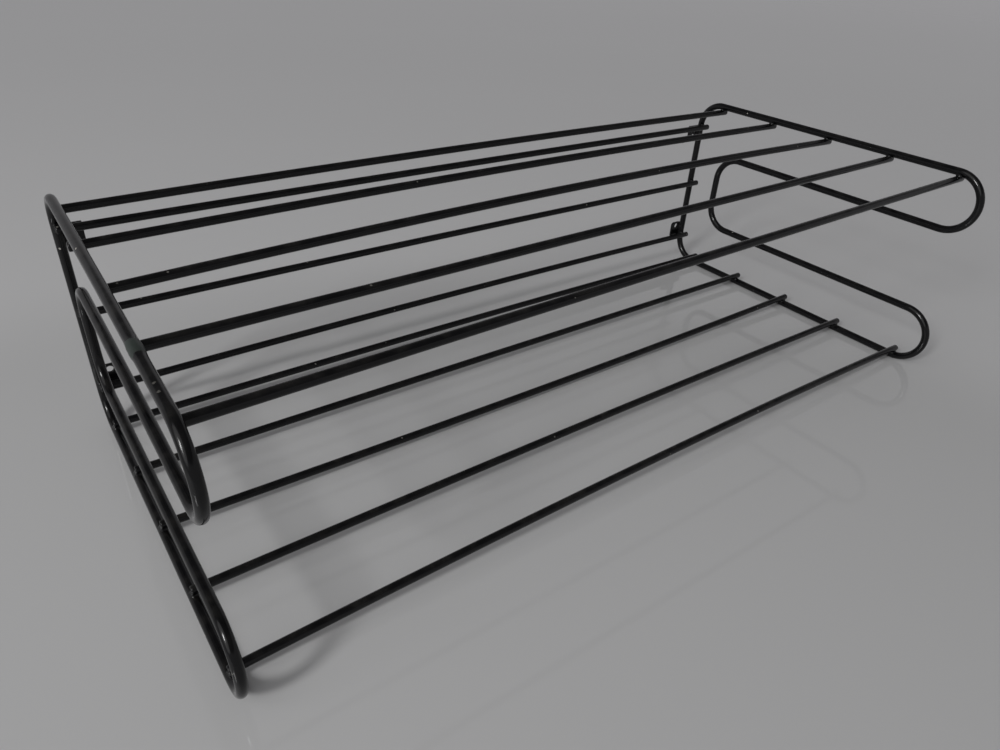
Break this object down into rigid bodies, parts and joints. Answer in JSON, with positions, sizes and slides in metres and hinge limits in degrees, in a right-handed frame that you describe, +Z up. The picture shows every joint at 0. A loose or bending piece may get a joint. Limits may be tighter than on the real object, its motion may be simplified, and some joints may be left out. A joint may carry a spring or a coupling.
{
  "type": "letter tray",
  "caption": "Two-tier welded wire letter rack: straight cross rods between two bent wire side frames, with screw lugs at the back for hanging it on a wall.",
  "frame": {"origin": "centre of the footprint, on the surface that the rack stands on", "axes": "+X along the cross rods towards the right side frame, +Y towards the wall, +Z up; the open front faces -Y"},
  "size_m": [0.6, 0.286, 0.17],
  "materials": {
    "black_lacquered_wire": "black gloss stoving lacquer on steel wire, lightly scuffed",
    "black_lacquered_plate": "black gloss stoving lacquer on pressed steel plate"
  },
  "bodies": {
    "root": {"left_side_frame": "black_lacquered_wire", "right_side_frame": "black_lacquered_wire", "top_rod_1": "black_lacquered_wire", "top_rod_2": "black_lacquered_wire", "top_rod_3": "black_lacquered_wire", "top_rod_4": "black_lacquered_wire", "top_rod_5": "black_lacquered_wire", "bottom_rod_1": "black_lacquered_wire", "bottom_rod_2": "black_lacquered_wire", "bottom_rod_3": "black_lacquered_wire", "bottom_rod_4": "black_lacquered_wire", "bottom_rod_5": "black_lacquered_wire", "back_rod_1": "black_lacquered_wire", "back_rod_2": "black_lacquered_wire", "back_rod_3": "black_lacquered_wire", "lower_left_lug": "black_lacquered_plate", "lower_right_lug": "black_lacquered_plate", "upper_left_lug": "black_lacquered_plate", "upper_right_lug": "black_lacquered_plate"}
  },
  "joints": []
}
